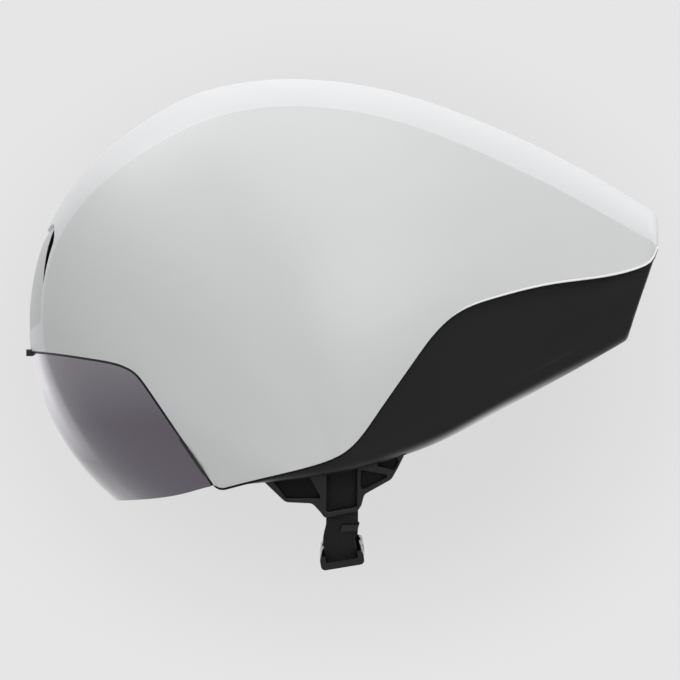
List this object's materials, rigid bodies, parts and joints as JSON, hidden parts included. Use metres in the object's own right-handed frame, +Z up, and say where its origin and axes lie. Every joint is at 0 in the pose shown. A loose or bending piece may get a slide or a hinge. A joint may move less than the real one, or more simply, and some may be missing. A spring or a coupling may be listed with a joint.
{
  "type": "aero time trial helmet",
  "caption": "Teardrop cycling time trial helmet with a lift-off mirrored visor, black lower tail shell, foam liner, pads, dial fit band and buckled chin strap.",
  "frame": {"origin": "centre of the wearer's head, where the head mount sits", "axes": "+X rearward along the helmet, +Z up, the wearer's left at -Y"},
  "size_m": [0.3097, 0.2014, 0.2407],
  "materials": {
    "white_shell": "satin white",
    "black_shell": "matte black",
    "lens": "mirrored lavender tint",
    "black_frame": "fine matte",
    "foam": "expanded foam skin",
    "pad_fabric": "soft knit",
    "fit_plastic": "smooth moulded",
    "dial_rubber": "grippy",
    "magnet_metal": "plated",
    "screw_metal": "black plated",
    "webbing": "woven",
    "guide_plastic": "satin moulded",
    "buckle_plastic": "glossy moulded"
  },
  "bodies": {
    "shell": {"upper_shell": "white_shell", "lower_shell": "black_shell", "foam_liner": "foam", "vent_insert": "white_shell", "exhaust_grille": "black_shell", "visor_seat": "black_frame", "seat_magnets": "magnet_metal", "brow_pad": "pad_fabric", "crown_pad": "pad_fabric", "rear_pad": "pad_fabric", "side_pad_left": "pad_fabric", "side_pad_right": "pad_fabric", "temple_pin_left": "fit_plastic", "temple_pin_right": "fit_plastic", "strap_guide_left": "guide_plastic", "strap_guide_right": "guide_plastic", "guide_rivets_left": "guide_plastic", "guide_rivets_right": "guide_plastic", "chin_strap_left": "webbing", "chin_strap_right": "webbing", "rear_strap_left": "webbing", "rear_strap_right": "webbing", "strap_keeper": "buckle_plastic", "buckle_female": "buckle_plastic"},
    "visor": {"visor_lens": "lens", "visor_tab": "black_frame", "lens_magnets": "magnet_metal"},
    "cradle": {"fit_yoke": "fit_plastic", "dial_housing": "fit_plastic"},
    "dial": {"dial_pinion": "fit_plastic", "dial_knob": "dial_rubber", "dial_screw": "screw_metal"},
    "left_band": {"rack_band_left": "fit_plastic", "nape_pad_left": "pad_fabric"},
    "right_band": {"rack_band_right": "fit_plastic", "nape_pad_right": "pad_fabric"},
    "male_clip": {"buckle_male": "buckle_plastic", "buckle_prongs": "buckle_plastic"}
  },
  "joints": [
    {"name": "visor_release", "type": "slide", "parent": "shell", "child": "visor", "axis": [-1, 0, 0], "range_m": [0, 0.11]},
    {"name": "cradle_tilt", "type": "hinge", "parent": "shell", "child": "cradle", "pos_m": [-0.04, 0, 0.012], "axis": [0, 1, 0], "range_deg": [-4, 4]},
    {"name": "dial_turn", "type": "hinge", "parent": "cradle", "child": "dial", "pos_m": [0.1072, 0, -0.01], "axis": [-1, 0, 0], "range_deg": [0, 114.6]},
    {"name": "left_band_slide", "type": "slide", "parent": "cradle", "child": "left_band", "axis": [0, 1, 0], "range_m": [0, 0.01]},
    {"name": "right_band_slide", "type": "slide", "parent": "cradle", "child": "right_band", "axis": [0, -1, 0], "range_m": [0, 0.01]},
    {"name": "buckle_release", "type": "slide", "parent": "shell", "child": "male_clip", "axis": [0, 0.9848, 0.1736], "range_m": [0, 0.018], "deforming": ["chin_strap_right", "buckle_prongs"]}
  ],
  "couplings": [
    {"joint": "dial_turn", "follows": "left_band_slide", "rad_per_m": 200},
    {"joint": "right_band_slide", "follows": "left_band_slide", "ratio": 1}
  ]
}
